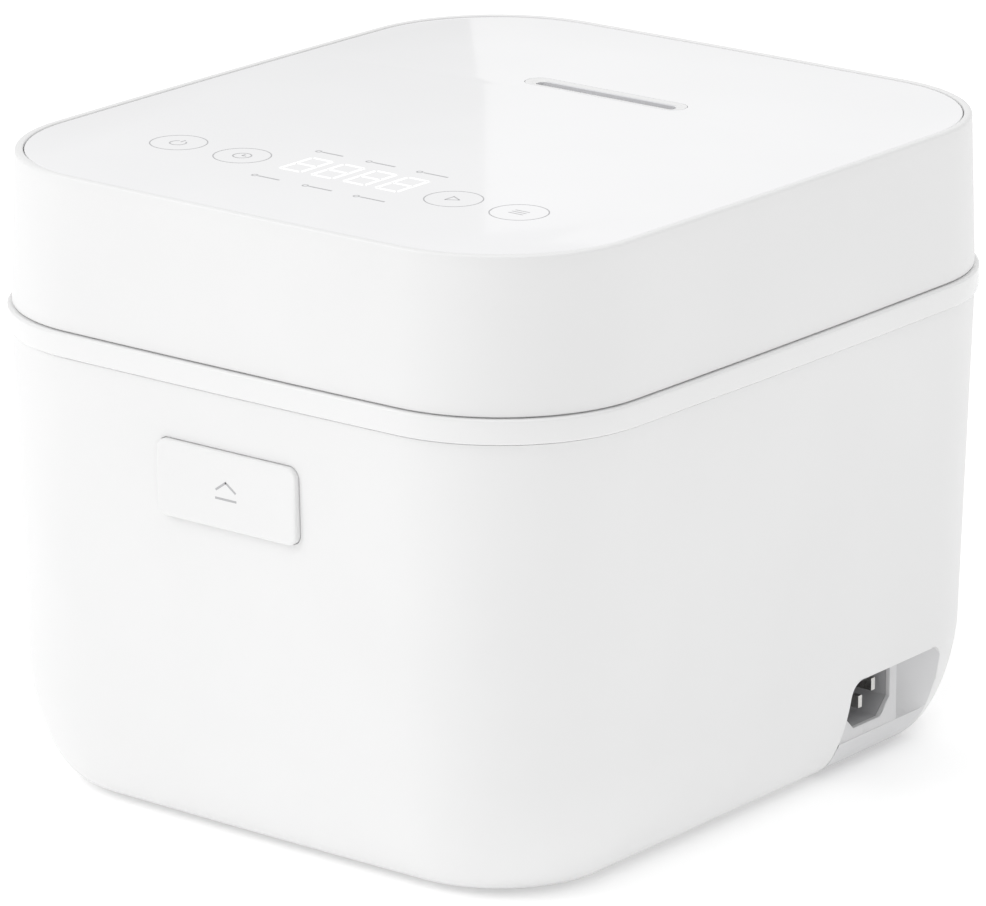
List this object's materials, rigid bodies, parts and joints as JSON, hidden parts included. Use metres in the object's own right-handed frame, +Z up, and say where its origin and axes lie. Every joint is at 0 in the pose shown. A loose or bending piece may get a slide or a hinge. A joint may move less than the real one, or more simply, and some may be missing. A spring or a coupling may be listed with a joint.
{
  "type": "rice cooker",
  "caption": "Square-shouldered rice cooker with a hinged lid, release button, steam slot, lift-out pot, side power inlet and rear water box.",
  "frame": {"origin": "centre of the whole outline on the table surface, under the feet", "axes": "+Z up, -Y towards the user (the button side), +X towards the side with the power inlet, +Y towards the hinge"},
  "size_m": [0.235, 0.3014, 0.204],
  "materials": {
    "white_abs": "fine satin moulding",
    "white_gloss": "polished moulding",
    "panel_gloss": "clear-topped gloss panel",
    "grey_abs": "fine texture",
    "dark_pbt": "fine texture",
    "water_box_clear": "frosted",
    "silicone": "matte",
    "foot_rubber": "matte",
    "pot_coating": "non-stick coating",
    "cast_aluminium": "machined casting",
    "sheet_aluminium": "spun sheet",
    "spring_steel": "drawn wire",
    "zinc_steel": "zinc plated",
    "brass_plated": "nickel plated",
    "circuit_board": "solder mask",
    "lead_insulation": "extruded",
    "ceramic_fuse": "glazed"
  },
  "bodies": {
    "body": {"body_shell": "white_abs", "body_collar": "white_abs", "bottom_cover": "grey_abs", "rubber_feet": "foot_rubber", "base_screws": "zinc_steel", "support_posts": "grey_abs", "pot_seat_ring": "dark_pbt", "pot_well": "sheet_aluminium", "heating_plate": "cast_aluminium", "heating_element": "zinc_steel", "heater_tabs": "zinc_steel", "thermal_fuse": "ceramic_fuse", "sensor_spring": "spring_steel", "sensor_bracket": "zinc_steel", "power_board": "circuit_board", "inlet_leads": "lead_insulation", "power_inlet": "dark_pbt", "inlet_pins": "brass_plated", "inlet_recess": "grey_abs", "button_frame": "white_abs", "button_springs": "spring_steel", "latch_pin": "spring_steel", "latch_bracket": "zinc_steel", "latch_spring": "spring_steel", "hinge_pin": "spring_steel", "hinge_bracket": "zinc_steel", "hinge_spring": "spring_steel", "rear_cover": "white_abs", "drain_spout": "grey_abs"},
    "lid": {"lid_shell": "white_abs", "top_panel": "panel_gloss", "vent_bezel": "white_gloss", "steam_duct": "grey_abs", "duct_seal": "silicone", "lid_frame": "white_abs", "lid_catch": "zinc_steel", "lid_screws": "zinc_steel", "touch_board": "circuit_board", "touch_pads": "zinc_steel", "digit_display": "white_gloss", "board_tray": "grey_abs", "inner_lid": "sheet_aluminium", "inner_lid_plug": "silicone", "lid_seal": "silicone", "lid_sensor": "zinc_steel", "lid_hinge": "white_abs"},
    "button": {"release_button": "white_gloss"},
    "latch": {"latch_hook": "grey_abs"},
    "sensor": {"sensor_cup": "sheet_aluminium"},
    "pot": {"inner_pot": "pot_coating"},
    "water_box": {"water_box": "water_box_clear"}
  },
  "joints": [
    {"name": "lid_hinge", "type": "hinge", "parent": "body", "child": "lid", "pos_m": [0, 0.12375, 0.158], "axis": [-1, 0, 0], "range_deg": [0, 95], "deforming": ["hinge_spring"]},
    {"name": "button_slide", "type": "slide", "parent": "body", "child": "button", "axis": [0, 1, 0], "range_m": [0, 0.0025], "stiffness_N_per_m": 600, "springref_m": -0.002, "deforming": ["button_springs"]},
    {"name": "latch_turn", "type": "hinge", "parent": "body", "child": "latch", "pos_m": [0, -0.13341, 0.136], "axis": [1, 0, 0], "range_deg": [0, 8], "deforming": ["latch_spring"]},
    {"name": "sensor_slide", "type": "slide", "parent": "body", "child": "sensor", "axis": [0, 0, 1], "range_m": [-0.003, 0], "stiffness_N_per_m": 400, "springref_m": 0.004, "deforming": ["sensor_spring"]},
    {"name": "pot_turn", "type": "hinge", "parent": "body", "child": "pot", "pos_m": [0, -0.01775, 0.033], "axis": [0, 0, 1], "continuous": true},
    {"name": "water_box_slide", "type": "slide", "parent": "body", "child": "water_box", "axis": [0, 1, 0], "range_m": [0, 0.035]}
  ],
  "couplings": [
    {"joint": "latch_turn", "follows": "button_slide", "rad_per_m": 53.19}
  ]
}
